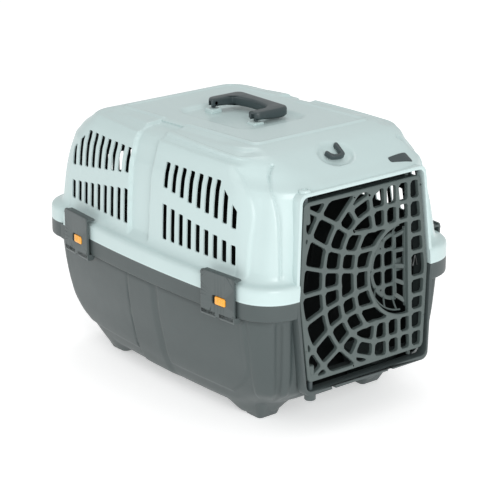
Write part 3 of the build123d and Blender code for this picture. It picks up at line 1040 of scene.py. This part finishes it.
def clip_plate_field(side):
    def field(p):
        d = box_distance(p, (0, 1.0), (31, 29.5), 3.5)
        window = box_distance(p, (side * 3.0, -5.5), (12.5, 5.5), 1.5)
        return np.maximum(d, -window)
    return field


def build_clip(side, which, edge_name):
    place = clip_frame(side, which)
    name = f"{edge_name}_{which}"
    lock = side * 5.9

    def facing(a, b, c):
        """a along the rim, b up, c outwards."""
        return place(a, c, b)

    def lengthwise(b, h, a):
        """A profile of (outwards, up) points, run along the rim."""
        return place(a, b, h)

    face = plate(clip_plate_field(side), (-36, -34), (36, 36), 2.0, 5.5, facing, edge=1.2, back=0.3, step=0.8)
    lip_shape = [(-7.8, 25.7), (-7.0, 28.3), (3.2, 28.5), (5.2, 27.0), (5.5, 24.0), (2.2, 22.5), (2.0, 25.5)]
    lip = prism(lip_shape, -31, 31, lengthwise)
    foot_shape = [(-2, -22.4), (-4.6, -23.2), (-6.1, -26.0), (-5.0, -29.4), (-2, -30.6), (3.5, -30.6),
                  (5.5, -28.0), (5.5, -22.4)]
    feet_parts = [prism(foot_shape, a, b, lengthwise) for a, b in ((-31, -3.75), (3.75, 31))]
    body = joined(f"clip_{name}_body", [face, lip] + feet_parts, clip_grey, 40)
    bevel(body, 0.7, 2, angle=50)
    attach(body, f"clip_{name}")
    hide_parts(f"clip_{name}")

    pad = prism(rounded(rectangle(lock - 9.2, lock + 9.2, -10.7, -0.3), 1.6), 0.9, 6.4, facing)
    ridges = [prism(rectangle(lock + k - 0.7, lock + k + 0.7, -9.4, -1.6), 6.0, 6.9, facing)
              for k in (-4.5, 0, 4.5)]
    foot_plate = prism(rectangle(lock - 10.5, lock + 10.5, -12, 1), 0.8, 1.7, facing)
    button = joined(f"lock_{name}_button", [pad, foot_plate] + ridges, orange)
    bevel(button, 0.5, 2)
    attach(button, f"lock_{name}")
    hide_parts(f"clip_lock_{name}")

    knuckle = lathe([(4.0, -3), (4.2, -2.6), (4.2, 2.6), (4.0, 3)], lambda a, b, h: place(h, -2 + a, -26.5 + b))
    return [knuckle, prism(rectangle(-16, -2, -29, -19.5), -3, 3, lengthwise)]


ears = []
for side, edge_name in ((-1, "near"), (1, "far")):
    for which in ("rear", "front"):
        ears += build_clip(side, which, edge_name)
ear = joined("clip_ears", ears, grey)
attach(ear, "shell")
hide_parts("lower_shell")

# ---------------------------------------------------------------- hook
slope_x, slope_y, slope_z = 194.0, -6.0, 352.6


def on_slope(a, b, c):
    """a across (+Y), b up the slope, c out of it."""
    up, out = (-0.901, 0, 0.434), (0.434, 0, 0.901)
    return (slope_x + up[0] * b + out[0] * c, slope_y + a, slope_z + up[2] * b + out[2] * c)


def hook_field(p):
    return polyline_distance(p, spline([(-13, 1), (-9, -7), (6, -8), (9, 0), (11, 12)])) - 2.6


hook = joined("strap_hook_body", [
    plate(hook_field, (-20, -14), (20, 16), -3, 3, on_slope, edge=1.0, step=0.6, spacing=0.9),
], dark)
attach(hook, "shell")
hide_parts("strap_hook")

# ---------------------------------------------------------------- stage, light, camera
floor_material = bpy.data.materials.new("floor")
floor_material.use_nodes = True
floor_inputs = floor_material.node_tree.nodes["Principled BSDF"].inputs
floor_inputs["Base Color"].default_value = (0.93, 0.93, 0.93, 1)
floor_inputs["Roughness"].default_value = 0.9
floor_inputs["Emission Color"].default_value = (1, 1, 1, 1)
floor_inputs["Emission Strength"].default_value = 0.42
floor_inputs["Specular IOR Level"].default_value = 0.1
mesh = bpy.data.meshes.new("floor")
mesh.from_pydata([(-30, -30, 0), (30, -30, 0), (30, 30, 0), (-30, 30, 0)], [], [(0, 1, 2, 3)])
mesh.materials.append(floor_material)
floor = bpy.data.objects.new("floor", mesh)
bpy.context.scene.collection.objects.link(floor)

world = bpy.data.worlds.new("studio")
bpy.context.scene.world = world
world.use_nodes = True
world.node_tree.nodes["Background"].inputs["Color"].default_value = (1, 1, 1, 1)
world.node_tree.nodes["Background"].inputs["Strength"].default_value = 0.62
bpy.context.scene.view_settings.view_transform = "Standard"


def area(name, place, target, size, power):
    light = bpy.data.lights.new(name, "AREA")
    light.shape, light.size, light.size_y = "RECTANGLE", size[0], size[1]
    light.energy = power
    obj = bpy.data.objects.new(name, light)
    obj.location = place
    obj.rotation_euler = (Vector(target) - Vector(place)).to_track_quat("-Z", "Y").to_euler()
    bpy.context.scene.collection.objects.link(obj)


area("key", (2.6, -1.1, 1.3), (0, 0, 0.2), (1.1, 1.1), 36)
area("fill", (-0.9, -2.6, 1.4), (0, 0, 0.2), (1.4, 1.4), 8)
area("top", (-0.8, 0.6, 2.4), (0, 0, 0.2), (1.2, 1.2), 9)

azimuth, elevation, distance = math.radians(51.0), math.radians(19.2), 2.7128
target = Vector((0, 0, 0.162))
level = math.cos(elevation)
away = Vector((math.sin(azimuth) * level, -math.cos(azimuth) * level, math.sin(elevation)))
camera_data = bpy.data.cameras.new("camera")
camera_data.lens, camera_data.sensor_width = 141.2, 36.0
camera_data.shift_x, camera_data.shift_y = 0.0142, 0.0068
camera = bpy.data.objects.new("camera", camera_data)
camera.location = target + away * distance
camera.rotation_euler = (-away).to_track_quat("-Z", "Y").to_euler()
bpy.context.scene.collection.objects.link(camera)
bpy.context.scene.camera = camera
